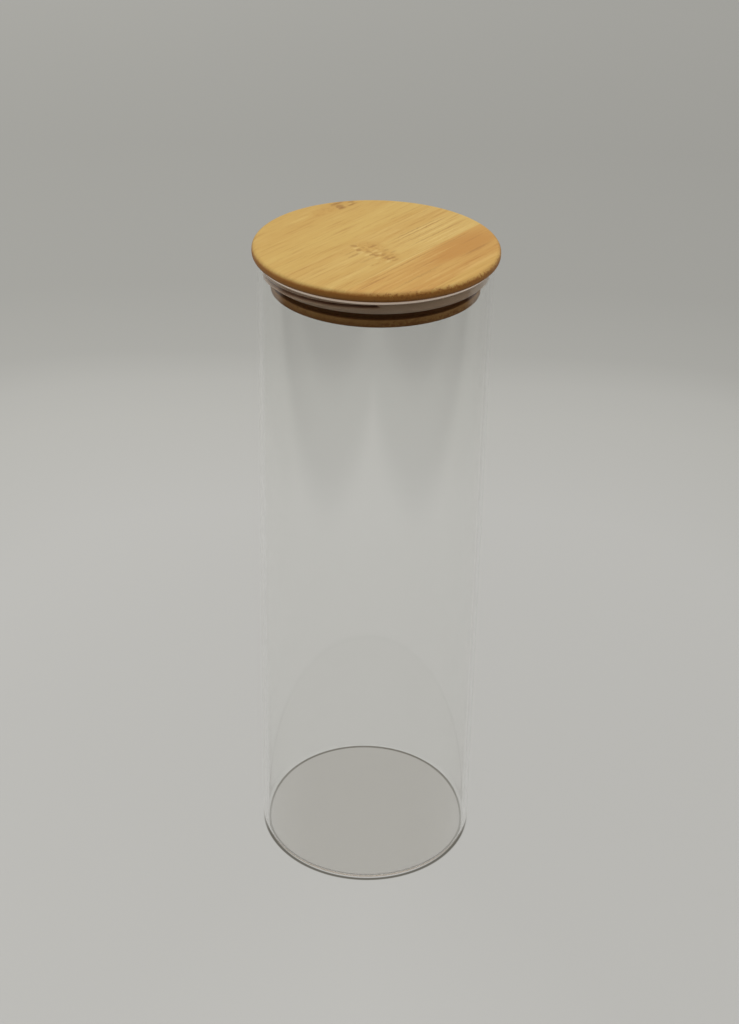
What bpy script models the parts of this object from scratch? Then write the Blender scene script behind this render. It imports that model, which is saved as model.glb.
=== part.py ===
"""Tall glass storage jar with a bamboo push-in lid: an assembly of separate named pieces.

The jar stands on the XY plane with its axis on Z. The front is on -Y. All lengths are in metres.
"""
import math

import bmesh
import bpy
from mathutils import Matrix, Vector

# Driving dimensions of the glass
GLASS_RADIUS = 0.0500
GLASS_HEIGHT = 0.2950
WALL = 0.0020
FLOOR = 0.0015
HEEL_RADIUS = 0.0032
INNER_HEEL_RADIUS = 0.0010

# Driving dimensions of the lid
LID_RADIUS = 0.05225
LID_THICKNESS = 0.0047
LID_EDGE_ROUND = 0.0019
PLUG_FLANGE_RADIUS = 0.04445
PLUG_NECK_RADIUS = 0.0420
PLUG_DEPTH = 0.0134
PLUG_FLANGE_HEIGHT = 0.0034
PLUG_EDGE_ROUND = 0.0007

# The board is glued up from strips, cut across the disc at these distances from its centre
GRAIN_ANGLE = math.radians(53.0)
STRIP_JOINTS = (-0.0350, -0.0073, 0.0208, 0.0460)

# The silicone ring: an upper lip, a slit and a lower lip that draws in downwards
RING_LIP_RADIUS = 0.0477
RING_FOOT_RADIUS = 0.0469
RING_VALLEY_RADIUS = 0.0440
RING_TOP_DROP = 0.0005
RING_HEIGHT = 0.0059
RING_UPPER_LIP = 0.0024
RING_SLIT = 0.0012
RING_LIP_ROUND = 0.0008

# Clearance kept between pieces that touch on the real jar
GAP = 0.0003

# Resolution of the turned shapes
TURN_STEPS = 96
LID_TURN_STEPS = 128
ARC_SEGMENTS = 5
FULL_TURN = 2.0 * math.pi
MERGE_DISTANCE = 0.00001
SMOOTH_ANGLE = math.radians(35.0)

RIM_Z = GLASS_HEIGHT
BOARD_BOTTOM_Z = RIM_Z + GAP
BOARD_TOP_Z = BOARD_BOTTOM_Z + LID_THICKNESS


def clear_scene():
    """Remove every object that the file starts with."""
    for obj in list(bpy.data.objects):
        bpy.data.objects.remove(obj, do_unlink=True)


def add_collection(name):
    """Return a new collection linked to the scene."""
    collection = bpy.data.collections.new(name)
    bpy.context.scene.collection.children.link(collection)
    return collection


def principled(name, color, roughness, metallic=0.0, transmission=0.0, alpha=1.0):
    """Return a Principled BSDF material."""
    material = bpy.data.materials.new(name)
    material.use_nodes = True
    shader = material.node_tree.nodes["Principled BSDF"]
    shader.inputs["Base Color"].default_value = (*color, 1.0)
    shader.inputs["Roughness"].default_value = roughness
    shader.inputs["Metallic"].default_value = metallic
    shader.inputs["Transmission Weight"].default_value = transmission
    shader.inputs["Alpha"].default_value = alpha
    material.diffuse_color = (*color, alpha)
    return material


def arc(centre_x, centre_z, radius, start, end, segments=ARC_SEGMENTS):
    """Return the points of an arc in the XZ plane, with its angles in degrees from +X."""
    points = []
    for step in range(segments + 1):
        angle = math.radians(start + (end - start) * step / segments)
        points.append((centre_x + radius * math.cos(angle), centre_z + radius * math.sin(angle)))
    return points


def turned(name, outline, collection, material, steps=TURN_STEPS, closed=False):
    """Turn an outline of (radius, height) points round Z with a Screw modifier."""
    mesh = bpy.data.meshes.new(name)
    builder = bmesh.new()
    corners = [builder.verts.new((radius, 0.0, height)) for radius, height in outline]
    for first, second in zip(corners, corners[1:]):
        builder.edges.new((first, second))
    if closed:
        builder.edges.new((corners[-1], corners[0]))
    builder.to_mesh(mesh)
    builder.free()
    obj = bpy.data.objects.new(name, mesh)
    collection.objects.link(obj)
    obj.data.materials.append(material)
    screw = obj.modifiers.new("turn", "SCREW")
    screw.axis = "Z"
    screw.angle = FULL_TURN
    screw.steps = steps
    screw.render_steps = steps
    screw.use_merge_vertices = True
    screw.merge_threshold = MERGE_DISTANCE
    screw.use_smooth_shade = True
    return obj


def glass_outline():
    """Return the glass from the middle of its floor, up the bore, over the lip and under the base."""
    lip = WALL / 2.0
    bore = GLASS_RADIUS - WALL
    outline = [(0.0, FLOOR)]
    outline += arc(bore - INNER_HEEL_RADIUS, FLOOR + INNER_HEEL_RADIUS, INNER_HEEL_RADIUS, -90.0, 0.0)
    outline += arc(GLASS_RADIUS - lip, GLASS_HEIGHT - lip, lip, 180.0, 0.0, 2 * ARC_SEGMENTS)
    outline += arc(GLASS_RADIUS - HEEL_RADIUS, HEEL_RADIUS, HEEL_RADIUS, 0.0, -90.0)
    outline.append((0.0, 0.0))
    return outline


def board_outline():
    """Return half of the board's section, from its top centre round the soft edge to its bottom centre."""
    turn = LID_EDGE_ROUND
    outline = [(0.0, BOARD_TOP_Z)]
    outline += arc(LID_RADIUS - turn, BOARD_TOP_Z - turn, turn, 90.0, 0.0)
    outline += arc(LID_RADIUS - turn, BOARD_BOTTOM_Z + turn, turn, 0.0, -90.0)
    outline.append((0.0, BOARD_BOTTOM_Z))
    return outline


def plug_outline():
    """Return half of the plug's section: a neck, which is the ring's groove, over a wider flange."""
    top = BOARD_BOTTOM_Z - GAP
    bottom = RIM_Z - PLUG_DEPTH
    shoulder = bottom + PLUG_FLANGE_HEIGHT
    outline = [(0.0, top), (PLUG_NECK_RADIUS, top), (PLUG_NECK_RADIUS, shoulder)]
    edge_x = PLUG_FLANGE_RADIUS - PLUG_EDGE_ROUND
    outline += arc(edge_x, shoulder - PLUG_EDGE_ROUND, PLUG_EDGE_ROUND, 90.0, 0.0, 3)
    outline += arc(edge_x, bottom + PLUG_EDGE_ROUND, PLUG_EDGE_ROUND, 0.0, -90.0, 3)
    outline.append((0.0, bottom))
    return outline


def ring_outline():
    """Return the ring's closed section: an inner wall, and two rounded lips with a slit between."""
    inner = PLUG_NECK_RADIUS + GAP
    top = RIM_Z - RING_TOP_DROP
    bottom = top - RING_HEIGHT
    slit_top = top - RING_UPPER_LIP
    slit_bottom = slit_top - RING_SLIT
    turn = RING_LIP_ROUND
    tip = RING_LIP_RADIUS - turn
    outline = [(inner, top)]
    outline += arc(tip, top - turn, turn, 90.0, 0.0)
    outline += arc(tip, slit_top + turn, turn, 0.0, -90.0)
    outline += [(RING_VALLEY_RADIUS, slit_top), (RING_VALLEY_RADIUS, slit_bottom)]
    outline += arc(tip, slit_bottom - turn, turn, 90.0, 0.0)
    outline += arc(RING_FOOT_RADIUS - turn, bottom + turn, turn, 0.0, -90.0)
    outline.append((inner, bottom))
    return outline


def strip_cutter(name, low, high, collection):
    """Return a box that keeps one strip of the board, between two distances from the lid's centre."""
    length = 3.0 * LID_RADIUS
    height = 3.0 * LID_THICKNESS
    mesh = bpy.data.meshes.new(name)
    builder = bmesh.new()
    size = Matrix.Diagonal((length, high - low, height, 1.0))
    bmesh.ops.create_cube(builder, size=1.0, matrix=size)
    builder.to_mesh(mesh)
    builder.free()
    cutter = bpy.data.objects.new(name, mesh)
    collection.objects.link(cutter)
    across = Vector((math.sin(GRAIN_ANGLE), -math.cos(GRAIN_ANGLE), 0.0))
    middle_z = (BOARD_BOTTOM_Z + BOARD_TOP_Z) / 2.0
    cutter.location = across * ((low + high) / 2.0) + Vector((0.0, 0.0, middle_z))
    cutter.rotation_euler = (0.0, 0.0, GRAIN_ANGLE)
    cutter.hide_render = True
    cutter.display_type = "WIRE"
    return cutter


def board_strips(parts, cutters, materials):
    """Return the glued bamboo strips of the lid board, each cut from the same turned disc."""
    edges = (-1.5 * LID_RADIUS, *STRIP_JOINTS, 1.5 * LID_RADIUS)
    strips = []
    for index, (low, high) in enumerate(zip(edges, edges[1:]), start=1):
        strip = turned(f"lid_strip_{index}", board_outline(), parts, materials[index - 1], LID_TURN_STEPS)
        cutter = strip_cutter(f"lid_strip_{index}_cut", low + GAP / 2.0, high - GAP / 2.0, cutters)
        cut = strip.modifiers.new("strip", "BOOLEAN")
        cut.operation = "INTERSECT"
        cut.solver = "EXACT"
        cut.object = cutter
        strips.append(strip)
    return strips


def sharpen(obj):
    """Keep the faces smooth and the hard edges sharp."""
    obj.data.set_sharp_from_angle(angle=SMOOTH_ANGLE)


def hang_on_lid(pieces, collection):
    """Parent the lid's pieces to an empty on the lid's lift axis, at the height of the glass rim."""
    lift = bpy.data.objects.new("lid_lift_axis", None)
    lift.empty_display_type = "SINGLE_ARROW"
    lift.empty_display_size = LID_RADIUS
    lift.location = (0.0, 0.0, RIM_Z)
    collection.objects.link(lift)
    for piece in pieces:
        piece.parent = lift
        piece.matrix_parent_inverse = Matrix.Translation((0.0, 0.0, -RIM_Z))


def main():
    """Build the jar."""
    clear_scene()
    parts = add_collection("glass_jar_with_bamboo_lid")
    cutters = add_collection("cutters")

    glass = principled("clear_glass", (0.90, 0.93, 0.92), 0.02, transmission=1.0, alpha=0.30)
    silicone = principled("silicone", (0.72, 0.68, 0.64), 0.35)
    plug_bamboo = principled("plug_bamboo", (0.45, 0.26, 0.10), 0.55)
    strip_tones = {
        "strip_edge_bamboo": (0.60, 0.37, 0.12),
        "strip_pale_bamboo": (0.64, 0.43, 0.15),
        "strip_node_bamboo": (0.62, 0.41, 0.14),
        "strip_dark_bamboo": (0.54, 0.30, 0.10),
        "strip_end_bamboo": (0.61, 0.40, 0.14),
    }
    strip_materials = [principled(name, tone, 0.5) for name, tone in strip_tones.items()]

    jar = turned("glass_body", glass_outline(), parts, glass)
    plug = turned("lid_plug", plug_outline(), parts, plug_bamboo)
    ring = turned("seal_ring", ring_outline(), parts, silicone, closed=True)
    strips = board_strips(parts, cutters, strip_materials)
    for obj in (jar, plug, ring, *strips):
        sharpen(obj)
    hang_on_lid((plug, ring, *strips), parts)


main()
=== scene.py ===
"""Looks of the tall glass storage jar: clear glass, a bamboo lid, its silicone ring and the studio."""
from __future__ import annotations

import logging
import math
from dataclasses import dataclass, field, replace
from enum import Enum
from typing import Any, Mapping, Optional, Sequence

import bmesh
import bpy
from mathutils import Matrix, Vector


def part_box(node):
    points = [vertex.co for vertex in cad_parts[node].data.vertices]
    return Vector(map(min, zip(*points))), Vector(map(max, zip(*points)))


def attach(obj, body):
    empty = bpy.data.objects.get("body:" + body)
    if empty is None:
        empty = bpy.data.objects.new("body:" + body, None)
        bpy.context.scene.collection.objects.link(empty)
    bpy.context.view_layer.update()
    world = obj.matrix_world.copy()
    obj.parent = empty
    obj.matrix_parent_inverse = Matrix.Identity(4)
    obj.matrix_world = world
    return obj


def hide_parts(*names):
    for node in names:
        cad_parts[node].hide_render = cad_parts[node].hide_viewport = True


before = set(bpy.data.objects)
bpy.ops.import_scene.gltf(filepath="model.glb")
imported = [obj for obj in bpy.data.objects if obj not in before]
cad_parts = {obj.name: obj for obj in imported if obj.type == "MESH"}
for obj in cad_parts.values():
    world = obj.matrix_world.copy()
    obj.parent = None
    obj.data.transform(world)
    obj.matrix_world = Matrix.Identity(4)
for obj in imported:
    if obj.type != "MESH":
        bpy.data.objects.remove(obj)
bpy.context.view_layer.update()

log = logging.getLogger("glass_jar")

Point = tuple[float, float]
Colour = tuple[float, float, float, float]

# The lid's grain runs at this angle from +X, and its glue joints lie at these distances across it
GRAIN_ANGLE = math.radians(53.0)
STRIP_JOINTS = (-0.0350, -0.0073, 0.0208, 0.0460)

MILLIMETRE = 0.001
FULL_TURN = 2.0 * math.pi
MERGE_DISTANCE = 1e-7
SHARP_ANGLE = math.radians(38.0)

# The photograph's frame and the camera that was fitted to the jar's outline in it
PHOTO_HEIGHT = 1024
FOCAL_PIXELS = 1715.5
OPTICAL_CENTRE_ROW = 340.0
SENSOR_LONG_SIDE_MM = 36.0


def srgb(red: int, green: int, blue: int) -> Colour:
    """Turn a colour as a screen shows it into the linear colour that a shader takes.

    Args:
        red: red from 0 to 255.
        green: green from 0 to 255.
        blue: blue from 0 to 255.

    Returns:
        The linear colour, opaque.
    """
    def linear(value: int) -> float:
        """Undo the screen's curve for one channel."""
        share = value / 255.0
        return share / 12.92 if share <= 0.04045 else ((share + 0.055) / 1.055) ** 2.4

    return (linear(red), linear(green), linear(blue), 1.0)


class Surface(Enum):
    """The record's material slots that the pieces take their finish from."""

    GLASS = "clear_glass"
    SILICONE = "silicone"
    PLUG = "plug_bamboo"
    EDGE_STRIP = "strip_edge_bamboo"
    PALE_STRIP = "strip_pale_bamboo"
    NODE_STRIP = "strip_node_bamboo"
    DARK_STRIP = "strip_dark_bamboo"
    END_STRIP = "strip_end_bamboo"


class Body(Enum):
    """The CAD bodies that pieces ride on."""

    JAR = "jar"
    LID = "lid"


def _operator(operation: str, swapped: bool = False) -> Any:
    """Return an operator for Value that adds a Math node, with its operands swapped or not."""
    def method(value: Value, other: Any) -> Value:
        """Return the node's result."""
        return value._with(operation, *((other, value) if swapped else (value, other)))

    return method


class Value:
    """A number socket of a shader graph, which Python's operators turn into Math nodes."""

    def __init__(self, graph: Graph, socket: bpy.types.NodeSocket) -> None:
        """Wrap a socket.

        Args:
            graph: the graph that the socket belongs to.
            socket: an output socket.
        """
        self.graph = graph
        self.socket = socket

    def _with(self, operation: str, first: Any, second: Any) -> Value:
        """Return a Math node's result on two numbers or sockets."""
        node = self.graph.node("ShaderNodeMath", {"operation": operation}, {0: first, 1: second})
        return Value(self.graph, node.outputs[0])

    __add__ = _operator("ADD")
    __radd__ = _operator("ADD", swapped=True)
    __sub__ = _operator("SUBTRACT")
    __rsub__ = _operator("SUBTRACT", swapped=True)
    __mul__ = _operator("MULTIPLY")
    __rmul__ = _operator("MULTIPLY", swapped=True)
    __truediv__ = _operator("DIVIDE")
    __pow__ = _operator("POWER")

    def __abs__(self) -> Value:
        """Return the value without its sign."""
        return self._with("ABSOLUTE", self, 0.0)

    def either(self, other: Any) -> Value:
        """Return the greater of two values."""
        return self._with("MAXIMUM", self, other)

    def between(self, low: float, high: float) -> Value:
        """Rise smoothly from 0 at low to 1 at high, or fall if high is the smaller.

        Args:
            low: where the result is 0.
            high: where the result is 1.

        Returns:
            The smooth step.
        """
        ends = (low, high, 0.0, 1.0) if low < high else (high, low, 1.0, 0.0)
        names = ("From Min", "From Max", "To Min", "To Max")
        inputs = {"Value": self, **dict(zip(names, ends))}
        node = self.graph.node("ShaderNodeMapRange", {"interpolation_type": "SMOOTHSTEP"}, inputs)
        return Value(self.graph, node.outputs["Result"])


class Graph:
    """The node tree of a material or of the world, with one method that adds nodes."""

    def __init__(self, owner: Any, output: str = "ShaderNodeOutputMaterial") -> None:
        """Start a tree that holds only its output.

        Args:
            owner: a new material or world.
            output: the type of its output node.
        """
        owner.use_nodes = True
        self.owner = owner
        self.tree = owner.node_tree
        self.tree.nodes.clear()
        self.output = self.tree.nodes.new(output)

    @classmethod
    def named(cls, name: str) -> Graph:
        """Return the graph of a new material."""
        return cls(bpy.data.materials.new(name))

    def node(self, kind: str, settings: Optional[Mapping[str, Any]] = None,
             inputs: Optional[Mapping[Any, Any]] = None) -> bpy.types.Node:
        """Add a node.

        Args:
            kind: the node's type.
            settings: its settings, set first. The key stops gives a colour ramp's stops.
            inputs: values, sockets or Value objects, by input name or number.

        Returns:
            The new node.
        """
        node = self.tree.nodes.new(kind)
        for key, setting in (settings or {}).items():
            if key == "stops":
                self._set_stops(node, setting)
            else:
                setattr(node, key, setting)
        for key, source in (inputs or {}).items():
            if isinstance(source, Value):
                self.tree.links.new(source.socket, node.inputs[key])
            elif isinstance(source, bpy.types.NodeSocket):
                self.tree.links.new(source, node.inputs[key])
            else:
                node.inputs[key].default_value = source
        return node

    @staticmethod
    def _set_stops(node: bpy.types.Node, stops: Sequence[tuple[float, Colour]]) -> None:
        """Give a colour ramp its stops."""
        elements = node.color_ramp.elements
        while len(elements) > len(stops):
            elements.remove(elements[-1])
        while len(elements) < len(stops):
            elements.new(1.0)
        for element, (place, colour) in zip(elements, stops):
            element.position = place
            element.color = colour

    def mix(self, factor: Any, first: Any, second: Any, blend: str = "MIX") -> bpy.types.NodeSocket:
        """Mix two colours.

        Args:
            factor: how much of the second colour shows, from 0 to 1.
            first: a colour or a colour socket.
            second: a colour or a colour socket.
            blend: the Mix node's blend type.

        Returns:
            The mixed colour's socket.
        """
        settings = {"data_type": "RGBA", "blend_type": blend, "clamp_factor": True}
        return self.node("ShaderNodeMix", settings, {0: factor, 6: first, 7: second}).outputs[2]

    def noise(self, vector: Any, detail: float = 2.0, roughness: float = 0.5) -> Value:
        """Add noise whose scale is set by its vector.

        Args:
            vector: the place, already scaled.
            detail: the noise's octaves.
            roughness: how strong the finer octaves are.

        Returns:
            The noise, from 0 to 1.
        """
        inputs = {"Vector": vector, "Scale": 1.0, "Detail": detail, "Roughness": roughness}
        return Value(self, self.node("ShaderNodeTexNoise", None, inputs).outputs[0])

    def vector(self, x: Any, y: Any, z: Any) -> bpy.types.NodeSocket:
        """Combine three numbers into a vector."""
        return self.node("ShaderNodeCombineXYZ", None, {0: x, 1: y, 2: z}).outputs[0]

    def split(self, vector: Any) -> tuple[Value, Value, Value]:
        """Split a vector into its three numbers."""
        node = self.node("ShaderNodeSeparateXYZ", None, {0: vector})
        return Value(self, node.outputs[0]), Value(self, node.outputs[1]), Value(self, node.outputs[2])

    def place(self) -> bpy.types.NodeSocket:
        """Return the Object coordinates."""
        return self.node("ShaderNodeTexCoord").outputs["Object"]

    def seen(self) -> tuple[Value, Value]:
        """Return which rays show a background.

        Returns:
            1 for the rays that do, direct, mirrored or through glass, and 1 for those that were mirrored.
        """
        rays = self.node("ShaderNodeLightPath").outputs
        direct = Value(self, rays["Is Camera Ray"])
        glossy = Value(self, rays["Is Glossy Ray"])
        through = Value(self, rays["Is Transmission Ray"])
        return direct.either(glossy).either(through), Value(self, rays["Glossy Depth"]).between(0.0, 1.0)

    def finish(self, inputs: Mapping[str, Any], height: Optional[Value] = None, bump: float = 0.0,
               depth: float = 0.0) -> bpy.types.Material:
        """End the graph in a Principled BSDF.

        Args:
            inputs: the shader's inputs.
            height: a height from 0 to 1 for a Bump node, or None.
            bump: the Bump node's strength.
            depth: the Bump node's distance in metres.

        Returns:
            The material.
        """
        shader = self.node("ShaderNodeBsdfPrincipled", None, inputs)
        if height is not None:
            bump_inputs = {"Height": height, "Strength": bump, "Distance": depth}
            relief = self.node("ShaderNodeBump", None, bump_inputs)
            self.tree.links.new(relief.outputs["Normal"], shader.inputs["Normal"])
        self.tree.links.new(shader.outputs[0], self.output.inputs[0])
        return self.owner


@dataclass(frozen=True)
class ClearGlass:
    """Clear glass with long, very shallow waves along the tube.

    The rounded lip has a painted highlight: a pale finish that glows a little, which stands in for the light
    that the glass wall carries up to its rim, for the bright line that it shows. Its index sets how much it
    mirrors.
    Wave_across and wave_along count the waves' changes in a metre.
    """

    tint: Colour = (0.992, 0.993, 0.988, 1.0)
    refraction: float = 1.50
    wave_across: float = 60.0
    wave_along: float = 5.0
    wave_depth: float = 0.00003
    lip_highlight_tint: Colour = (0.58, 0.58, 0.57, 1.0)
    lip_highlight_refraction: float = 2.4
    lip_painted_glow: Colour = (1.0, 0.80, 0.62, 1.0)
    lip_painted_glow_power: float = 0.30
    lip_highlight_soft: float = 0.0003

    def material(self, painted_lip_from: float) -> bpy.types.Material:
        """Return the glass.

        Args:
            painted_lip_from: the height where the rounded lip and its painted highlight begin.

        Returns:
            The material.
        """
        graph = Graph.named("clear_glass")
        x, y, z = graph.split(graph.place())
        drawn = graph.vector(x * self.wave_across, y * self.wave_across, z * self.wave_along)
        waves = graph.noise(drawn, detail=1.0)
        inputs = {
            "Base Color": self.tint,
            "Roughness": 0.0,
            "IOR": self.refraction,
            "Transmission Weight": 1.0,
        }
        material = graph.finish(inputs, waves, bump=0.25, depth=self.wave_depth)
        clear = graph.output.inputs[0].links[0].from_socket
        # The lip's painted highlight: a pale, glowing finish that stands in for light carried up the glass
        # wall
        painted_lip_inputs = {
            "Base Color": self.lip_highlight_tint,
            "Roughness": 0.35,
            "IOR": self.lip_highlight_refraction,
            "Emission Color": self.lip_painted_glow,
            "Emission Strength": self.lip_painted_glow_power,
        }
        glow = graph.node("ShaderNodeBsdfPrincipled", None, painted_lip_inputs)
        share = z.between(painted_lip_from, painted_lip_from + self.lip_highlight_soft)
        lip = graph.node("ShaderNodeMixShader", None, {0: share, 1: clear, 2: glow.outputs[0]})
        graph.tree.links.new(lip.outputs[0], graph.output.inputs[0])
        return material


@dataclass(frozen=True)
class Silicone:
    """Pale translucent silicone rubber with a satin skin, clouded in its tone, with painted shade deep in its
    slit.

    Attributes:
        slit_inset: how far inside the outer radius the painted shade starts and is full.
        slit_reach: how far from the slit's middle it ends and is full.
    """

    body: Colour = srgb(248, 218, 186)
    bloom: Colour = srgb(234, 200, 166)
    # Painted shade for the slit's depths, and how much of it shows
    shade: Colour = srgb(150, 66, 24)
    shade_share: float = 0.45
    refraction: float = 1.41
    cloud_across: float = 90.0
    cloud_up: float = 200.0
    slit_inset: Point = (0.0005, 0.0015)
    slit_reach: Point = (0.0022, 0.0016)

    def material(self, slit_at: float, radius: float) -> bpy.types.Material:
        """Return the silicone, with painted shade deep inside its slit.

        Args:
            slit_at: the height of the slit's middle.
            radius: the ring's outer radius.

        Returns:
            The material.
        """
        graph = Graph.named("silicone")
        x, y, z = graph.split(graph.place())
        spread = graph.vector(x * self.cloud_across, y * self.cloud_across, z * self.cloud_up)
        cloud = graph.noise(spread)
        # Painted shade: darker deep inside the slit between the lips
        none, full = self.slit_inset
        inward = ((x * x + y * y) ** 0.5).between(radius - none, radius - full)
        deep = inward * abs(z - slit_at).between(*self.slit_reach)
        clouded = graph.mix(cloud, self.body, self.bloom)
        inputs = {
            "Base Color": graph.mix(deep * self.shade_share, clouded, self.shade),
            "Roughness": cloud * 0.15 + 0.3,
            "IOR": self.refraction,
            "Transmission Weight": 0.15,
        }
        return graph.finish(inputs, cloud, bump=0.1, depth=0.0001)


@dataclass(frozen=True)
class Mark:
    """A soft-edged spot or streak in the bamboo, with its sizes in millimetres.

    Attributes:
        along: its middle along the grain, from the lid's centre.
        across: its middle across the grain.
        half_length: half its length along the grain.
        half_width: half its width across the grain.
        depth: how strongly it shows, from 0 to 1.
    """

    along: float
    across: float
    half_length: float
    half_width: float
    depth: float


def marks(*rows: Sequence[float]) -> tuple[Mark, ...]:
    """Return marks from rows of their five numbers."""
    return tuple(Mark(*row) for row in rows)


@dataclass(frozen=True)
class Pattern:
    """Noise in the bamboo.

    Attributes:
        along: how many times a metre it changes along the grain.
        across: the same across it.
        up: the same upwards.
        detail: the noise's octaves.
        roughness: how strong the finer octaves are.
    """

    along: float
    across: float
    up: float
    detail: float = 2.0
    roughness: float = 0.5

    def noise(self, graph: Graph, along: Value, across: Value, up: Value, shift: float = 0.0) -> Value:
        """Return the noise at a place, with the pattern shifted along the grain."""
        place = graph.vector(along * self.along + shift, across * self.across, up * self.up)
        return graph.noise(place, self.detail, self.roughness)


# The bamboo's noises: the fibres' sway, slow changes, grain, short dashes and the frayed edge
SWAY = Pattern(9.0, 30.0, 0.0, 1.0)
SLOW = Pattern(7.0, 130.0, 60.0)
GRAIN = Pattern(38.0, 640.0, 400.0, 3.0, 0.6)
DASH = Pattern(110.0, 1300.0, 900.0)
FRAY = Pattern(900.0, 900.0, 800.0, 3.0, 0.65)
ROUGH_SCALE = 520.0

# Where a noise starts to show as a colour and where it shows fully, and how much of it shows then
SLOW_SPAN, SLOW_SHARE = (0.36, 0.64), 0.55
FIBRE_SPAN, FIBRE_SHARE = (0.50, 0.74), 0.50
LIGHT_SPAN, LIGHT_SHARE = (0.46, 0.28), 0.45
DASH_SPAN, DASH_SHARE = (0.58, 0.74), 0.30
MOTTLE_DARK_SPAN = (0.49, 0.62)
MOTTLE_LIGHT_SPAN = (0.46, 0.36)
TUFT_SPAN, TUFT_SHARE, TUFT_SHARE_FRAYED = (0.50, 0.66), 0.15, 0.50

# How far the fibres sway and the marks' rims wander along and across the grain
SWAY_WIDTH = 0.0010
RAG_ALONG = 0.0030
RAG_ACROSS = 0.0012

# A mark's rim, in shares of its size, and the turned edge's beginning past the flat's radius
MARK_SPAN = (1.25, 0.35)
EDGE_START, EDGE_FULL, EDGE_SHARE = 0.0017, 0.0036, 0.9

# How far the edge's beginning wanders, how much more where it is frayed, and across where that is
EDGE_WANDER = 0.0014
FRAY_WANDER = 0.0070
FRAY_SECTOR = (0.35, 0.75)

# Painted shade on the plug's neck, in the ring's groove: how soft its start is and how much shows
GROOVE_SHADE_SOFT, GROOVE_SHADE_SHARE = 0.0002, 0.6


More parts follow.
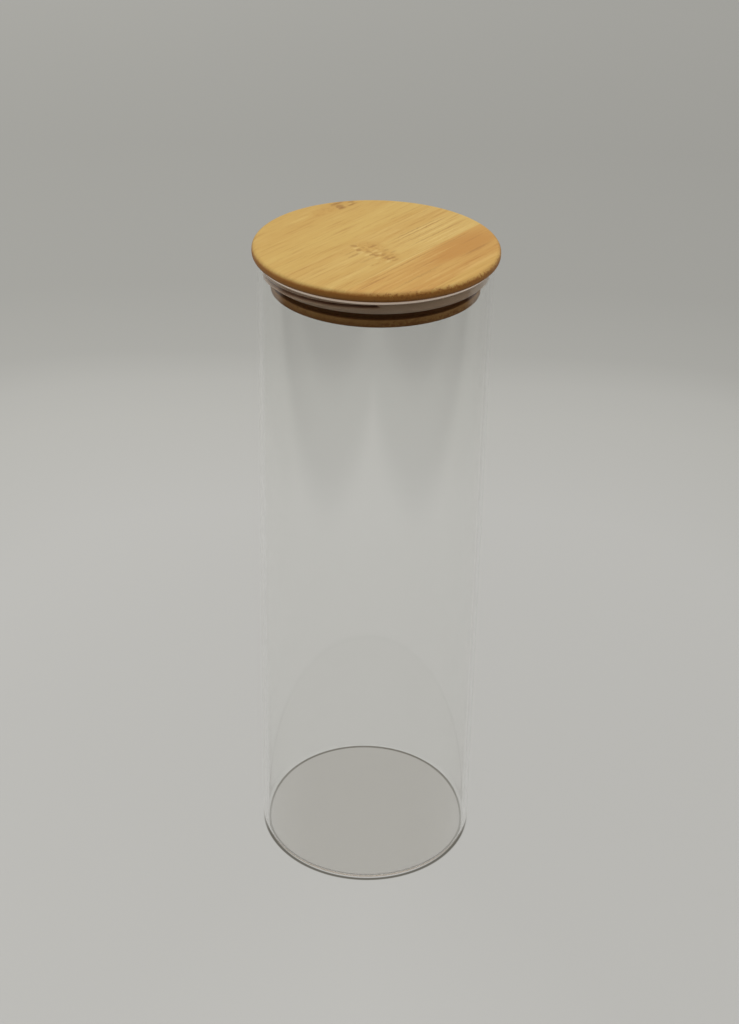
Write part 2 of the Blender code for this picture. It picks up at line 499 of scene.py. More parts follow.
@dataclass(frozen=True)
class Bamboo:
    """Sanded bamboo with fibres along the grain, a turned edge, optional marks and optional painted shade in
    a groove.

    Attributes:
        name: the material's name.
        ground: the colour between the fibres.
        deep: the colour of the slow changes and of the stains.
        fibre: the colour of the fine streaks.
        light: the colour of the pale streaks.
        edge: the colour that the turned edge goes to.
        seed: shifts the pattern, so that no two strips are alike.
        streaks: how strong the fine streaks are.
        flat_radius: where the flat top ends and the turned edge begins.
        top: the height of the flat top.
        stains: wide marks towards the deep colour.
        dark: marks towards a burnt brown, such as a knuckle's.
        pale: marks towards the light colour.
        burnt: the darkest brown of the marks and of the frayed edge.
        mottle: how mottled the stains are.
        groove_shade_from: the height where painted shade on the groove starts, or None without it.
        groove: the colour of that painted shade.
    """

    name: str
    ground: Colour
    deep: Colour
    fibre: Colour
    light: Colour
    edge: Colour
    seed: float
    streaks: float
    flat_radius: float
    top: float
    stains: tuple[Mark, ...] = ()
    dark: tuple[Mark, ...] = ()
    pale: tuple[Mark, ...] = ()
    burnt: Colour = srgb(138, 88, 36)
    mottle: float = 0.0
    groove_shade_from: Optional[float] = None
    groove: Colour = srgb(84, 38, 14)

    def material(self) -> bpy.types.Material:
        """Return the bamboo."""
        graph = Graph.named(self.name)
        turn = {"Vector": graph.place(), "Rotation": (0.0, 0.0, -GRAIN_ANGLE)}
        turned = graph.node("ShaderNodeMapping", {"vector_type": "POINT"}, turn)
        along, leftward, up = graph.split(turned.outputs[0])
        across = -1.0 * leftward

        sway = SWAY.noise(graph, along, across, up, self.seed)
        line = across + (sway - 0.5) * SWAY_WIDTH
        slow = SLOW.noise(graph, along, line, up, self.seed)
        grain = GRAIN.noise(graph, along, line, up, self.seed)
        dash = DASH.noise(graph, along, line, up, -self.seed)
        fibres = grain.between(*FIBRE_SPAN)
        dashes = dash.between(*DASH_SPAN)

        colour = graph.mix(slow.between(*SLOW_SPAN) * (SLOW_SHARE * self.streaks), self.ground, self.deep)
        colour = graph.mix(fibres * (FIBRE_SHARE * self.streaks), colour, self.fibre)
        colour = graph.mix(grain.between(*LIGHT_SPAN) * (LIGHT_SHARE * self.streaks), colour, self.light)
        colour = graph.mix(dashes * (DASH_SHARE * self.streaks), colour, self.fibre)
        pore = fibres * 0.5 + dashes * 0.5

        rough = graph.noise(graph.vector(along * ROUGH_SCALE, across * ROUGH_SCALE, self.seed), 2.0, 0.6)
        ragged = graph.vector(along + (rough - 0.5) * RAG_ALONG, line + (rough - 0.5) * RAG_ACROSS, 0.0)
        stained = self._cover(graph, ragged, self.stains)
        colour = graph.mix(stained, colour, self.deep)
        if self.mottle:
            colour = graph.mix(rough.between(*MOTTLE_DARK_SPAN) * stained * self.mottle, colour, self.burnt)
            colour = graph.mix(rough.between(*MOTTLE_LIGHT_SPAN) * stained * self.mottle, colour, self.light)
        colour = graph.mix(self._cover(graph, ragged, self.pale), colour, self.light)
        colour = graph.mix(self._cover(graph, ragged, self.dark), colour, self.burnt)
        colour = self._turned_edge(graph, colour, along, across, up)

        inputs = {
            "Base Color": colour,
            "Roughness": 0.50 + pore * 0.10 + (slow - 0.5) * 0.1,
            "IOR": 1.45,
            "Specular IOR Level": 0.35,
        }
        return graph.finish(inputs, 1.0 - pore, bump=0.35, depth=0.0001)

    @staticmethod
    def _cover(graph: Graph, place: Any, marks: Sequence[Mark]) -> Any:
        """Return how strongly the marks cover a place.

        Args:
            graph: the material's graph.
            place: the place along and across the grain.
            marks: the marks.

        Returns:
            The sum of the marks, or 0 without any.
        """
        total: Any = 0.0
        for mark in marks:
            scale = (1.0 / (mark.half_length * MILLIMETRE), 1.0 / (mark.half_width * MILLIMETRE), 0.0)
            shift = (-mark.along / mark.half_length, -mark.across / mark.half_width, 0.0)
            inputs = {"Vector": place, "Location": shift, "Scale": scale}
            centred = graph.node("ShaderNodeMapping", {"vector_type": "POINT"}, inputs).outputs[0]
            apart = graph.node("ShaderNodeVectorMath", {"operation": "LENGTH"}, {0: centred}).outputs["Value"]
            total = Value(graph, apart).between(*MARK_SPAN) * mark.depth + total
        return total

    def _turned_edge(self, graph: Graph, colour: Any, along: Value, across: Value, up: Value) -> Any:
        """Darken the turned edge, which is frayed where it cuts the strips' sides at the right front, and
        paint shade on a groove.

        Args:
            graph: the material's graph.
            colour: the colour of the flat.
            along: place along the grain.
            across: place across the grain.
            up: height.

        Returns:
            The colour with the edge on it.
        """
        radius = (along * along + across * across) ** 0.5
        fray = FRAY.noise(graph, along, across, up)
        frayed = (across / radius).between(*FRAY_SECTOR)
        drop = self.top - up
        start = radius + drop + (fray - 0.5) * (frayed * FRAY_WANDER + EDGE_WANDER)
        share = start.between(self.flat_radius + EDGE_START, self.flat_radius + EDGE_FULL)
        tufts = fray.between(*TUFT_SPAN) * (frayed * TUFT_SHARE_FRAYED + TUFT_SHARE)
        side = graph.mix(tufts, self.edge, self.burnt)
        colour = graph.mix(share * EDGE_SHARE, colour, side)
        if self.groove_shade_from is None:
            return colour
        # Painted shade: the neck above the shoulder, in the ring's groove, is darkened
        unlit = up.between(self.groove_shade_from, self.groove_shade_from + GROOVE_SHADE_SOFT)
        return graph.mix(unlit * GROOVE_SHADE_SHARE, colour, self.groove)


@dataclass
class TurnedShape:
    """Helpers that make a piece from a turned outline.

    Attributes:
        steps: how many flats a full turn has.
        radius: the piece's outer radius.
        bottom: the height of its lowest point.
        top: the height of its highest point.
    """

    steps: int = 256
    radius: float = field(init=False)
    bottom: float = field(init=False)
    top: float = field(init=False)

    def measure(self, *boxes: Any) -> None:
        """Take the outer size from the frame's boxes."""
        self.radius = max(float(high[0]) for low, high in boxes)
        self.bottom = min(float(low[2]) for low, high in boxes)
        self.top = max(float(high[2]) for low, high in boxes)

    @staticmethod
    def arc(centre: Point, radius: float, start: float, end: float, segments: int = 8) -> list[Point]:
        """Return the points of an arc.

        Args:
            centre: the arc's centre, as distance from the axis and height.
            radius: the arc's radius.
            start: the first angle in degrees from outwards.
            end: the last angle.
            segments: how many straight pieces it has.

        Returns:
            The points, both ends included.
        """
        points = []
        for step in range(segments + 1):
            angle = math.radians(start + (end - start) * step / segments)
            points.append((centre[0] + radius * math.cos(angle), centre[1] + radius * math.sin(angle)))
        return points

    def spin(self, outline: Sequence[Point], closed: bool = False) -> bmesh.types.BMesh:
        """Turn an outline round Z.

        Args:
            outline: points as distance from the axis and height.
            closed: whether the last point joins the first.

        Returns:
            The closed solid, with its faces outwards.
        """
        builder = bmesh.new()
        corners = [builder.verts.new((radius, 0.0, height)) for radius, height in outline]
        edges = [builder.edges.new(pair) for pair in zip(corners, corners[1:])]
        if closed:
            edges.append(builder.edges.new((corners[-1], corners[0])))
        bmesh.ops.spin(builder, geom=corners + edges, cent=(0.0, 0.0, 0.0), axis=(0.0, 0.0, 1.0),
                       dvec=(0.0, 0.0, 0.0), angle=FULL_TURN, steps=self.steps, use_merge=True,
                       use_normal_flip=False, use_duplicate=False)
        bmesh.ops.remove_doubles(builder, verts=builder.verts, dist=MERGE_DISTANCE)
        bmesh.ops.recalc_face_normals(builder, faces=builder.faces)
        return builder

    @staticmethod
    def to_object(name: str, builder: bmesh.types.BMesh, material: bpy.types.Material) -> bpy.types.Object:
        """Turn a bmesh into a smooth object with sharp arrises.

        Args:
            name: the piece's name.
            builder: the mesh, which is freed.
            material: its material.

        Returns:
            The object.
        """
        for face in builder.faces:
            face.smooth = True
        for edge in builder.edges:
            edge.smooth = edge.calc_face_angle(0.0) < SHARP_ANGLE
        mesh = bpy.data.meshes.new(name)
        builder.to_mesh(mesh)
        builder.free()
        mesh.materials.append(material)
        piece = bpy.data.objects.new(name, mesh)
        bpy.context.scene.collection.objects.link(piece)
        return piece


def dress(piece: bpy.types.Object, body: Body, surface: Surface, *nodes: str) -> bpy.types.Object:
    """Tie a finished piece to the frame.

    Args:
        piece: the piece.
        body: the body that it rides on.
        surface: not used.
        nodes: the CAD nodes that it stands for.

    Returns:
        The piece.
    """
    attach(piece, body.value)
    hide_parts(*nodes)
    log.info("%s rides on %s and has %d faces", piece.name, body.value, len(piece.data.polygons))
    return piece


@dataclass
class GlassJar(TurnedShape):
    """The glass: a straight tube with a flat floor, a rounded heel and a fire-polished lip.

    Attributes:
        wall: the tube's wall.
        floor: the thickness of its floor.
        heel: the radius of the outer heel.
        inner_heel: the radius inside.
        hold: how far from each round an extra loop keeps the long faces' smooth normals true.
        painted_lip_share: how far the lip's painted highlight reaches down, in walls.
    """

    wall: float = 0.0020
    floor: float = 0.0015
    heel: float = 0.0032
    inner_heel: float = 0.0010
    hold: float = 0.0003
    painted_lip_share: float = 0.55

    def __post_init__(self) -> None:
        """Read the glass's outer size from the frame."""
        self.measure(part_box("glass_body"))

    def outline(self) -> list[Point]:
        """Return the section from the floor's middle, up the bore, over the lip and under the base."""
        lip = self.wall / 2.0
        bore = self.radius - self.wall
        inner_turn = bore - self.inner_heel
        outer_turn = self.radius - self.heel
        points = [(0.0, self.floor), (inner_turn - self.hold, self.floor)]
        points += self.arc((inner_turn, self.floor + self.inner_heel), self.inner_heel, -90.0, 0.0,
                           segments=14)
        points += [(bore, self.floor + self.inner_heel + self.hold), (bore, self.top - lip - self.hold)]
        points += self.arc((self.radius - lip, self.top - lip), lip, 180.0, 0.0, segments=20)
        points += [(self.radius, self.top - lip - self.hold), (self.radius, self.heel + self.hold)]
        points += self.arc((outer_turn, self.heel), self.heel, 0.0, -90.0, segments=16)
        points += [(outer_turn - self.hold, 0.0), (0.0, 0.0)]
        return points

    def build(self) -> bpy.types.Object:
        """Return the dressed glass.

        It throws no shadow and dims no bounced light. A painted shadow, a darker disc and two dark lines in
        the floor, stands in its shadow's place.
        """
        material = ClearGlass().material(self.top - self.painted_lip_share * self.wall)
        piece = self.to_object("jar_glass", self.spin(self.outline()), material)
        piece.visible_shadow = False
        piece.visible_diffuse = False
        return dress(piece, Body.JAR, Surface.GLASS, "glass_body")


@dataclass
class LidBoard(TurnedShape):
    """The lid's round board, glued up from bamboo strips and turned to a soft edge.

    Attributes:
        edge_round: the radius of the upper and the lower edge.
    """

    edge_round: float = 0.0019

    def __post_init__(self) -> None:
        """Read the board's size from the frame."""
        boxes = [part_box(f"lid_strip_{number}") for number in range(1, 6)]
        self.measure(*boxes)

    def outline(self) -> list[Point]:
        """Return the section from the top's middle round the edge to the underside's middle."""
        turn = self.edge_round
        inset = self.radius - turn
        points = [(0.0, self.top)]
        points += self.arc((inset, self.top - turn), turn, 90.0, 0.0, segments=10)
        points += self.arc((inset, self.bottom + turn), turn, 0.0, -90.0, segments=10)
        points.append((0.0, self.bottom))
        return points

    def strip(self, low: Optional[float], high: Optional[float]) -> bmesh.types.BMesh:
        """Return the part of the board between two glue joints.

        Args:
            low: the joint on one side, or None at the board's edge.
            high: the joint on the other side, or None.

        Returns:
            The strip, closed.
        """
        builder = self.spin(self.outline())
        across = Vector((math.sin(GRAIN_ANGLE), -math.cos(GRAIN_ANGLE), 0.0))
        for joint, side in ((low, -1.0), (high, 1.0)):
            if joint is None:
                continue
            everything = builder.verts[:] + builder.edges[:] + builder.faces[:]
            cut = bmesh.ops.bisect_plane(
                builder, geom=everything, dist=MERGE_DISTANCE, plane_co=across * joint,
                plane_no=across * side, clear_outer=True, clear_inner=False)
            rim = [part for part in cut["geom_cut"] if isinstance(part, bmesh.types.BMEdge)]
            bmesh.ops.edgeloop_fill(builder, edges=rim)
        bmesh.ops.recalc_face_normals(builder, faces=builder.faces)
        return builder

    def finishes(self) -> list[tuple[Surface, Bamboo]]:
        """Return the slot and the finish of each strip, from the back left to the right front."""
        plain = Bamboo(name="plain", ground=srgb(205, 169, 92), deep=srgb(196, 153, 78),
                       fibre=srgb(178, 130, 64), light=srgb(216, 184, 112), edge=srgb(176, 114, 50),
                       seed=5.3, streaks=1.1, flat_radius=self.radius - self.edge_round, top=self.top)
        first_stains = marks(
            (-6.0, -51.0, 34.0, 8.0, 0.45), (22.0, -40.5, 17.0, 5.0, 0.95), (10.0, -38.7, 9.0, 1.6, 0.60),
        )
        first_dark = marks(
            (22.7, -36.4, 2.6, 1.3, 0.50), (29.3, -35.9, 3.0, 1.0, 0.50), (23.7, -38.6, 2.4, 2.2, 0.50),
            (24.3, -42.0, 2.4, 1.3, 0.45), (27.5, -41.5, 2.6, 1.1, 0.45), (31.3, -38.2, 2.2, 1.4, 0.40),
        )
        first_pale = (Mark(29.3, -37.4, 1.3, 0.8, 0.40), Mark(25.8, -37.8, 1.2, 0.8, 0.20))
        knuckle_stains = marks(
            (-5.5, 1.0, 7.0, 7.5, 0.80), (-8.5, 12.0, 5.5, 6.0, 0.90), (-17.0, -4.2, 4.0, 0.6, 0.45),
            (-17.0, 13.7, 6.0, 1.0, 0.70),
        )
        knuckle_dark = marks(
            (-8.8, -5.2, 1.5, 1.7, 0.42), (-10.8, -0.9, 1.4, 1.3, 0.48), (-9.9, 3.6, 1.3, 1.6, 0.30),
            (-10.7, 6.5, 1.4, 1.1, 0.45), (-10.8, 8.4, 1.4, 1.0, 0.42), (-8.5, 9.9, 1.8, 0.9, 0.36),
            (-10.2, 12.5, 1.9, 1.0, 0.40), (-10.4, 14.4, 1.4, 0.8, 0.42), (-8.1, 14.8, 1.7, 0.9, 0.38),
            (-9.3, 17.0, 2.0, 0.8, 0.28), (-3.0, 1.0, 1.8, 1.0, 0.32), (-3.6, 7.8, 1.9, 0.9, 0.24),
            (-3.0, 11.0, 2.2, 0.8, 0.22), (-16.3, 1.3, 4.6, 0.9, 0.32), (-16.0, -1.7, 4.4, 0.6, 0.22),
            (-16.5, 8.3, 5.6, 0.7, 0.25),
        )
        knuckle_pale = marks(
            (-10.2, -3.1, 1.4, 1.0, 0.80), (-12.6, 1.2, 1.8, 1.1, 0.80), (-12.8, 5.0, 1.9, 1.1, 0.70),
            (-7.2, 4.9, 2.2, 0.9, 0.60), (-8.0, 8.0, 1.6, 0.8, 0.70), (-12.6, 10.4, 2.0, 0.9, 0.70),
            (-12.3, 15.6, 1.9, 0.9, 0.70),
        )
        long_fibres = tuple(Mark(24.0, across, 21.0, 0.38, 0.36) for across in (3.3, 5.2, 8.8, 12.8))
        long_lights = tuple(Mark(26.0, across, 20.0, 0.55, 0.75) for across in (4.3, 7.0, 10.6, 15.5, 18.0))
        glue_light = Mark(-6.0, 20.3, 24.0, 0.5, 0.50)
        dark_strip_stains = marks(
            (23.0, 30.0, 26.0, 9.0, 1.00), (-4.0, 31.0, 20.0, 5.0, 0.35),
        )
        dark_strip_dark = marks(
            (-8.0, 22.3, 24.0, 0.5, 0.30), (24.0, 22.6, 14.0, 0.4, 0.20), (-34.0, 24.6, 13.0, 0.5, 0.30),
            (-17.0, 34.8, 18.0, 0.5, 0.30), (22.0, 36.0, 11.0, 0.8, 0.32), (-2.0, 29.5, 14.0, 0.4, 0.20),
            (30.0, 28.0, 9.0, 0.4, 0.22),
        )
        dark_strip_pale = marks(
            (4.0, 26.5, 18.0, 0.5, 0.40), (-22.0, 31.5, 16.0, 0.6, 0.40), (12.0, 45.4, 20.0, 1.5, 0.60),
            (-12.0, 40.0, 16.0, 0.6, 0.40),
        )
        strips: dict[Surface, dict[str, Any]] = {
            Surface.EDGE_STRIP: {
                "seed": 1.7, "mottle": 0.10,
                "stains": first_stains, "dark": first_dark, "pale": first_pale,
            },
            Surface.PALE_STRIP: {},
            Surface.NODE_STRIP: {
                "seed": 9.1, "mottle": 0.28, "ground": srgb(207, 171, 96),
                "stains": knuckle_stains, "dark": knuckle_dark + long_fibres,
                "pale": knuckle_pale + long_lights + (glue_light,),
            },
            Surface.DARK_STRIP: {
                "seed": 13.9, "ground": srgb(204, 161, 86), "deep": srgb(191, 138, 66),
                "fibre": srgb(172, 118, 54), "light": srgb(214, 176, 102),
                "stains": dark_strip_stains, "dark": dark_strip_dark, "pale": dark_strip_pale,
            },
            Surface.END_STRIP: {"seed": 17.2, "streaks": 1.0, "ground": srgb(206, 165, 88)},
        }
        return [(slot, replace(plain, name=slot.value, **own)) for slot, own in strips.items()]

    def build(self) -> list[bpy.types.Object]:
        """Return the dressed strips."""
        joints = (None, *STRIP_JOINTS, None)
        pieces = []
        for number, (surface, finish) in enumerate(self.finishes(), start=1):
            builder = self.strip(joints[number - 1], joints[number])
            piece = self.to_object(f"lid_board_{number}", builder, finish.material())
            pieces.append(dress(piece, Body.LID, surface, f"lid_strip_{number}"))
        return pieces


@dataclass
class LidPlug(TurnedShape):
    """The turned plug under the board: a neck, which is the ring's groove, over a wider flange.

    Attributes:
        neck: the groove's radius.
        flange_height: the flange's height.
        edge_round: the radius of the flange's arrises.
    """

    neck: float = 0.0420
    flange_height: float = 0.0034
    edge_round: float = 0.0007

    def __post_init__(self) -> None:
        """Read the plug's size from the frame."""
        self.measure(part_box("lid_plug"))

    def outline(self) -> list[Point]:
        """Return the section from the top's middle down the neck and round the flange."""
        shoulder = self.bottom + self.flange_height
        inset = self.radius - self.edge_round
        points = [(0.0, self.top), (self.neck, self.top), (self.neck, shoulder)]
        points += self.arc((inset, shoulder - self.edge_round), self.edge_round, 90.0, 0.0)
        points += self.arc((inset, self.bottom + self.edge_round), self.edge_round, 0.0, -90.0)
        points.append((0.0, self.bottom))
        return points

    def build(self) -> bpy.types.Object:
        """Return the dressed plug."""
        shoulder = self.bottom + self.flange_height
        finish = Bamboo(name=Surface.PLUG.value, ground=srgb(176, 130, 72), deep=srgb(158, 110, 54),
                        fibre=srgb(128, 82, 38), light=srgb(186, 144, 88), edge=srgb(138, 92, 44),
                        seed=23.5, streaks=0.9, flat_radius=self.radius - MILLIMETRE, top=shoulder,
                        groove_shade_from=shoulder - GROOVE_SHADE_SOFT)
        piece = self.to_object("plug_turned", self.spin(self.outline()), finish.material())
        return dress(piece, Body.LID, Surface.PLUG, "lid_plug")


@dataclass
class SealRing(TurnedShape):
    """The silicone ring: an upper and a lower lip, pressed together over part of the way round.

    Attributes:
        upper_lip: the height of the upper lip.
        slit: the height of the slit between the lips.
        lip_round: the radius of the lips' arrises.
        valley: the radius of the slit's floor.
        foot: the ring's outer radius at its bottom.
        seam: how deep the seam is where the lips are pressed together.
        open_from: the angle in degrees where the lips part.
        open_to: the angle where they meet again.
        end_run: how many degrees the slit takes to close.
        climb: how far the slit climbs in a degree.
        climb_from: the angle where it starts to climb.
        climb_even: the angle where it is as high as in the outline.
        fade_run: how many degrees past its ends the climb takes to fade.
        shelf: how far above and below the slit's middle the lips give way to its climb.
        seat: the gap kept between the ring and the plug's neck.
    """

    upper_lip: float = 0.0024
    slit: float = 0.0012
    lip_round: float = 0.0008
    valley: float = 0.0440
    foot: float = 0.0469
    seam: float = 0.00006
    open_from: float = 165.0
    open_to: float = 272.0
    end_run: float = 1.6
    climb: float = 0.000027
    climb_from: float = 215.0
    climb_even: float = 243.0
    fade_run: float = 20.0
    shelf: float = 0.0024
    seat: float = 0.00005
    inner: float = field(init=False)

    def __post_init__(self) -> None:
        """Read the ring's size from the frame."""
        self.measure(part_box("seal_ring"))
        self.inner = LidPlug.neck + self.seat

    @property
    def slit_middle(self) -> float:
        """Return the height of the slit's middle."""
        return self.top - self.upper_lip - self.slit / 2.0

    def outline(self) -> list[Point]:
        """Return the closed section: the inner wall, and two rounded lips with a slit between."""
        turn = self.lip_round
        tip = self.radius - turn
        above = self.slit_middle + self.slit / 2.0
        below = self.slit_middle - self.slit / 2.0
        points = [(self.inner, self.top)]
        points += self.arc((tip, self.top - turn), turn, 90.0, 0.0)
        points += self.arc((tip, above + turn), turn, 0.0, -90.0)
        points += [(self.valley, above), (self.valley, below)]
        points += self.arc((tip, below - turn), turn, 90.0, 0.0)
        points += self.arc((self.foot - turn, self.bottom + turn), turn, 0.0, -90.0)
        points.append((self.inner, self.bottom))
        return points

    def closed_share(self, angle: float) -> float:
        """Return 0 where the lips are apart and 1 where they are pressed together.

        Args:
            angle: the direction in degrees.

        Returns:
            The share, with a short soft run at both ends of the slit.
        """
        into = min(angle - self.open_from, self.open_to - angle)
        share = min(max(1.0 - into / self.end_run, 0.0), 1.0)
        return share * share * (3.0 - 2.0 * share)

    def rise(self, angle: float) -> float:
        """Return how far the slit lies above its height in the outline.

        Args:
            angle: the direction in degrees.

        Returns:
            The rise in metres.
        """
        climbing = min(max(angle, self.climb_from), self.open_to)
        past = max(self.open_from - angle, angle - self.open_to, 0.0)
        fade = max(1.0 - past / self.fade_run, 0.0)
        return self.climb * (climbing - self.climb_even) * fade

    def squeeze(self, vert: bmesh.types.BMVert) -> None:
        """Close the slit where the lips are pressed together, and let it climb round the ring."""
        apart = abs(vert.co.z - self.slit_middle)
        angle = math.degrees(math.atan2(vert.co.y, vert.co.x)) % 360.0
        radius = vert.co.xy.length
        if apart < self.slit / 2.0 + self.lip_round and radius > self.inner + MILLIMETRE:
            closed = max(self.radius - self.seam, radius)
            vert.co.xy *= 1.0 + (closed / radius - 1.0) * self.closed_share(angle)
        give = (self.shelf - apart) / (self.shelf - self.slit / 2.0)
        vert.co.z += self.rise(angle) * min(max(give, 0.0), 1.0)

    def build(self) -> bpy.types.Object:
        """Return the dressed ring."""
        builder = self.spin(self.outline(), closed=True)
        for vert in builder.verts:
            self.squeeze(vert)
        bmesh.ops.recalc_face_normals(builder, faces=builder.faces)
        piece = self.to_object("ring_silicone", builder, Silicone().material(self.slit_middle, self.radius))
        return dress(piece, Body.LID, Surface.SILICONE, "seal_ring")


@dataclass
class Studio:
    """The pale sweep, the soft light and the camera.

    Attributes:
        half: half the floor's side.
        film: how far the floor lies below the glass, so that their faces don't coincide.
        start: how far in front of the jar the sweep's tones start.
        reach: how far behind the jar they run.
        side_reach: how much a step to the side counts as one to the back.
        tones: the sweep's tones, by their share of that run, which paint the fall of light across it.
        left_light_tint: the factor on the tones on the left, a painted brightening.
        right_light_tint: the factor on the right, a painted darkening.
        bounce: how much of its tone the floor throws back at the jar.
        side_span: how far to each side of the jar the two tints go over into each other.
        contact_shadow_radius: the radius of the painted shadow, a darker disc under the glass, which throws
            no shadow of its own.
        contact_shadow_soft: how far that disc's rim is soft to each side.
        contact_shadow_tint: the factor on the floor's tone in it.
        surround: the tone that mirrored and refracted rays meet past the sweep.
        fill_front: the world's light from the front.
        fill_back: the world's light from the sides and the back.
        fill_climb: how much a direction's height counts towards the brighter light.
        fill_span: where from front to back the light starts to rise and where it is full.
        front_mirror: the tone that mirrored rays meet in front, where the room is dark.
        mirror_span: where from back to front the world turns to that tone.
        front_from: how far in front of the jar the floor starts to look dark in mirrored rays.
        front_to: how far in front it is quite dark there.
        foot_shadow_line: the inner and the outer radius of the painted shadow line at the foot circle.
        outer_shadow_line: the same for the painted shadow line outside it, which is drawn in front only.
        outer_shadow_front: how far behind the axis the outer line starts, and where it is full.
        foot_shadow_line_tint: the factor in the first.
        outer_shadow_line_tint: the factor in the second.
        sun_power: the overhead light.
        sun_spread: its width in degrees.
        light_bounces: how often light may bounce, enough for it to leave the glass wall again.
        camera_distance: how far in front of the jar's axis the camera stands.
        camera_height: how high it stands.
    """

    half: float = 9.0
    film: float = 0.0002
    start: float = 0.2
    reach: float = 1.6
    side_reach: float = 1.25
    tones: tuple[tuple[float, Colour], ...] = (
        (0.04, srgb(184, 183, 179)),
        (0.12, srgb(181, 180, 176)),
        (0.27, srgb(180, 179, 175)),
        (0.34, srgb(175, 174, 169)),
        (0.37, srgb(171, 170, 165)),
        (0.40, srgb(162, 161, 156)),
        (0.47, srgb(156, 155, 150)),
        (0.67, srgb(154, 153, 148)),
        (0.98, srgb(158, 157, 152)),
    )
    left_light_tint: Colour = (1.10, 1.10, 1.10, 1.0)
    right_light_tint: Colour = (0.95, 0.95, 0.95, 1.0)
    side_span: float = 0.9
    bounce: float = 0.24
    contact_shadow_radius: float = 0.0467
    contact_shadow_soft: float = 0.001
    contact_shadow_tint: Colour = (0.835, 0.815, 0.790, 1.0)
    surround: Colour = srgb(158, 157, 152)
    fill_front: float = 0.03
    fill_back: float = 1.00
    fill_climb: float = 0.60
    fill_span: Point = (-0.8, 0.2)
    front_mirror: Colour = srgb(24, 22, 20)
    mirror_span: Point = (0.1, -0.3)
    front_from: float = -0.47
    front_to: float = -0.62
    foot_shadow_line: Point = (0.0464, 0.0477)
    outer_shadow_line: Point = (0.0486, 0.0500)
    outer_shadow_front: Point = (0.005, -0.020)
    foot_shadow_line_tint: Colour = (0.30, 0.28, 0.24, 1.0)
    outer_shadow_line_tint: Colour = (0.28, 0.27, 0.24, 1.0)
    sun_power: float = 1.2
    sun_spread: float = 80.0
    light_bounces: int = 512
    camera_distance: float = 0.66673
    camera_height: float = 0.56984
    pitch: float = math.radians(25.274)
    yaw: float = math.radians(-0.185)
    roll: float = math.radians(1.035)

    def floor(self) -> bpy.types.Object:
        """Return the floor, which is not part of the object."""
        graph = Graph.named("sweep_paper")
        x, y, z = graph.split(graph.place())
        # The tones and the side factors paint the fall of light across the sweep
        settings = {"stops": self.tones}
        behind = y.either(0.0)
        sideways = x * self.side_reach
        away = ((behind * behind) ** 2.0 + (sideways * sideways) ** 2.0) ** 0.25
        share = (away + y - behind + self.start) / (self.start + self.reach)
        tone = graph.node("ShaderNodeValToRGB", settings, {"Fac": share}).outputs["Color"]
        side = graph.mix(x.between(-self.side_span, self.side_span), self.left_light_tint, self.right_light_tint)
        tone = graph.mix(1.0, tone, side, "MULTIPLY")
        # Painted shadow in place of the glass's own: a darker disc under it and two dark lines at its heel
        radius = (x * x + y * y) ** 0.5
        soft = self.contact_shadow_soft
        contact = radius.between(self.contact_shadow_radius + soft, self.contact_shadow_radius - soft)
        tone = graph.mix(contact, tone, graph.mix(1.0, tone, self.contact_shadow_tint, "MULTIPLY"))
        ring = self._ring(radius, *self.foot_shadow_line)
        tone = graph.mix(ring, tone, graph.mix(1.0, tone, self.foot_shadow_line_tint, "MULTIPLY"))
        ring = self._ring(radius, *self.outer_shadow_line) * y.between(*self.outer_shadow_front)
        tone = graph.mix(ring, tone, graph.mix(1.0, tone, self.outer_shadow_line_tint, "MULTIPLY"))
        dim = (self.bounce, self.bounce, self.bounce, 1.0)
        seen, mirrored = graph.seen()
        front = (y - abs(x)).between(self.front_from, self.front_to)
        bright = graph.mix(front * mirrored, tone, self.front_mirror)
        tone = graph.mix(seen, graph.mix(1.0, tone, dim, "MULTIPLY"), bright)
        material = graph.finish({"Base Color": tone, "Roughness": 1.0, "Specular IOR Level": 0.0})
        builder = bmesh.new()
        bmesh.ops.create_grid(builder, x_segments=1, y_segments=1, size=self.half)
        bmesh.ops.translate(builder, verts=builder.verts, vec=(0.0, 0.0, -self.film))
        obj = TurnedShape.to_object("floor", builder, material)
        return obj

    @staticmethod
    def _ring(radius: Value, inside: float, outside: float, soft: float = 0.0003) -> Value:
        """Return 1 between two radii and 0 elsewhere, with soft rims."""
        return radius.between(inside - soft, inside + soft) * radius.between(outside + soft, outside - soft)

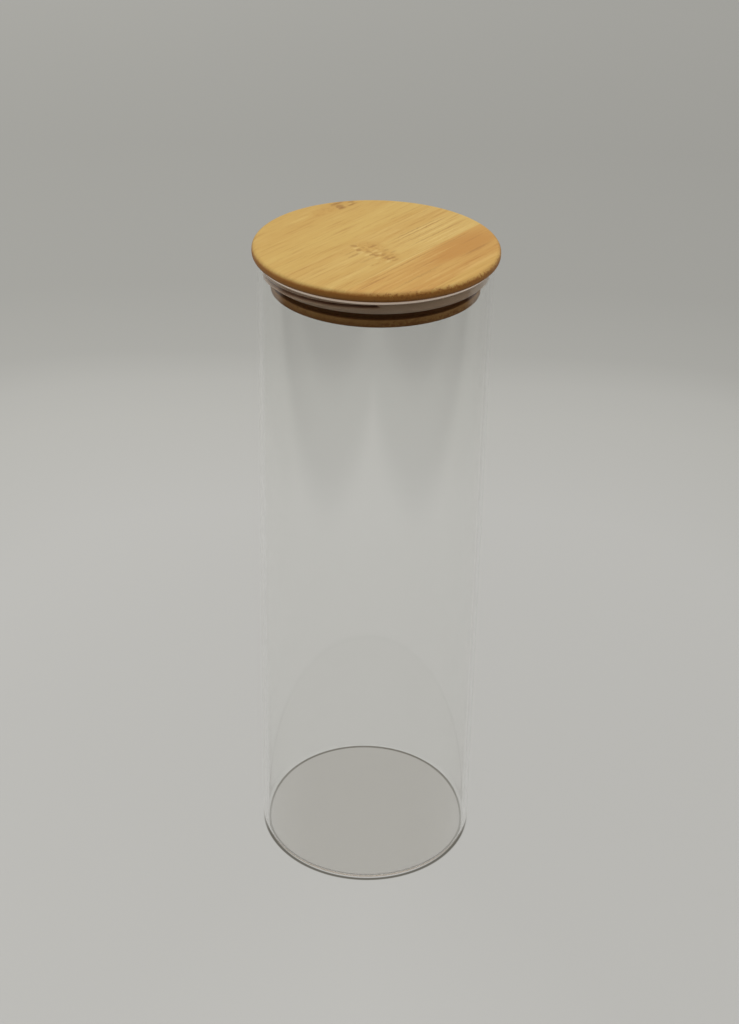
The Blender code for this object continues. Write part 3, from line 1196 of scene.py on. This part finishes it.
    def world(self) -> None:
        """Make the even light around the jar, which is weaker from the front."""
        world = bpy.data.worlds.new("studio")
        bpy.context.scene.world = world
        graph = Graph(world, "ShaderNodeOutputWorld")
        direction = graph.node("ShaderNodeTexCoord").outputs["Generated"]
        x, y, z = graph.split(direction)
        level = (y + z * self.fill_climb).between(*self.fill_span)
        fill = level * (self.fill_back - self.fill_front) + self.fill_front
        light = graph.node("ShaderNodeBackground", None, {"Strength": fill})
        seen, mirrored = graph.seen()
        behind = graph.mix(y.between(*self.mirror_span) * mirrored, self.surround, self.front_mirror)
        backdrop = graph.node("ShaderNodeBackground", None, {"Color": behind})
        sources = {0: seen, 1: light.outputs[0], 2: backdrop.outputs[0]}
        mixed = graph.node("ShaderNodeMixShader", None, sources)
        graph.tree.links.new(mixed.outputs[0], graph.output.inputs[0])

    def overhead(self) -> None:
        """Add the broad soft light over the jar."""
        lamp = bpy.data.lights.new("overhead", "SUN")
        lamp.energy = self.sun_power
        lamp.angle = math.radians(self.sun_spread)
        obj = bpy.data.objects.new("overhead", lamp)
        bpy.context.scene.collection.objects.link(obj)

    def camera(self) -> bpy.types.Object:
        """Return the camera that was fitted to the photograph."""
        forward = Vector((math.sin(self.yaw) * math.cos(self.pitch),
                          math.cos(self.yaw) * math.cos(self.pitch), -math.sin(self.pitch)))
        level = forward.cross(Vector((0.0, 0.0, 1.0))).normalized()
        upright = level.cross(forward)
        right = math.cos(self.roll) * level + math.sin(self.roll) * upright
        up = math.cos(self.roll) * upright - math.sin(self.roll) * level
        data = bpy.data.cameras.new("camera")
        data.lens = FOCAL_PIXELS / PHOTO_HEIGHT * SENSOR_LONG_SIDE_MM
        data.sensor_width = SENSOR_LONG_SIDE_MM
        data.shift_y = (OPTICAL_CENTRE_ROW - PHOTO_HEIGHT / 2.0) / PHOTO_HEIGHT
        data.clip_start = 0.01
        data.clip_end = 50.0
        obj = bpy.data.objects.new("camera", data)
        turn = Matrix((right, up, -forward)).transposed().to_4x4()
        place = Matrix.Translation((0.0, -self.camera_distance, self.camera_height))
        obj.matrix_world = place @ turn
        bpy.context.scene.collection.objects.link(obj)
        bpy.context.scene.camera = obj
        return obj

    def build(self) -> None:
        """Set the stage."""
        bpy.context.scene.view_settings.view_transform = "Standard"
        paths = bpy.context.scene.cycles
        paths.max_bounces = self.light_bounces
        paths.glossy_bounces = self.light_bounces
        paths.transmission_bounces = self.light_bounces
        self.floor()
        self.world()
        self.overhead()
        self.camera()


def main() -> None:
    """Build every piece in order, then the studio."""
    logging.basicConfig(level=logging.INFO, format="%(name)s: %(message)s")
    GlassJar().build()
    LidPlug(steps=192).build()
    SealRing(steps=240).build()
    LidBoard().build()
    Studio().build()


if __name__ == "__main__":
    main()
